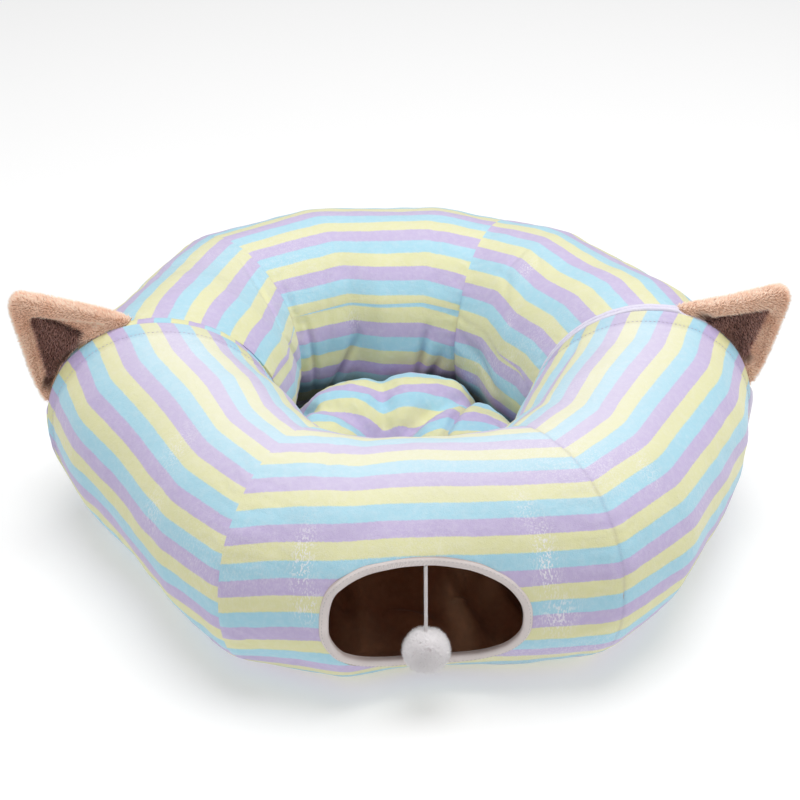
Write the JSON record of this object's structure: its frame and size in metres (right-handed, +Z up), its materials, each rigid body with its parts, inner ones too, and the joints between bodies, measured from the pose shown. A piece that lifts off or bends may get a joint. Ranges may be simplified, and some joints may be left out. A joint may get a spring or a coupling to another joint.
{
  "type": "donut cat tunnel bed",
  "caption": "Ring-shaped plush cat tunnel with a striped cover, an oval mouth with a hanging pompom, cat ears at the sides and a round tufted cushion in the middle.",
  "frame": {"origin": "the middle of the ring on the floor, on the flat underside of the cushion", "axes": "+Z up, +X to the right seen from the front, -Y out of the mouth at the front"},
  "size_m": [0.8434, 0.7681, 0.2805],
  "materials": {
    "striped_plush": "short-pile plush in lilac, lemon and aqua stripes",
    "lining_plush": "dark brown short-pile plush",
    "welt_plush": "pale lilac plush edge",
    "ear_plush": "light brown long-pile plush",
    "ear_lining": "dark brown plush",
    "binding_tape": "cream woven tape",
    "braided_cord": "white braided cord",
    "pompom_yarn": "white yarn"
  },
  "bodies": {
    "root": {"front_left_cover": "striped_plush", "front_middle_cover": "striped_plush", "front_right_cover": "striped_plush", "back_right_cover": "striped_plush", "back_middle_cover": "striped_plush", "back_left_cover": "striped_plush", "front_left_lining": "lining_plush", "front_middle_lining": "lining_plush", "front_right_lining": "lining_plush", "welt_right": "welt_plush", "ear_right": "ear_plush", "ear_inside_right": "ear_lining", "welt_left": "welt_plush", "ear_left": "ear_plush", "ear_inside_left": "ear_lining", "mouth_tape": "binding_tape", "cushion": "striped_plush", "pompom_cord": "braided_cord", "pompom": "pompom_yarn"}
  },
  "joints": []
}
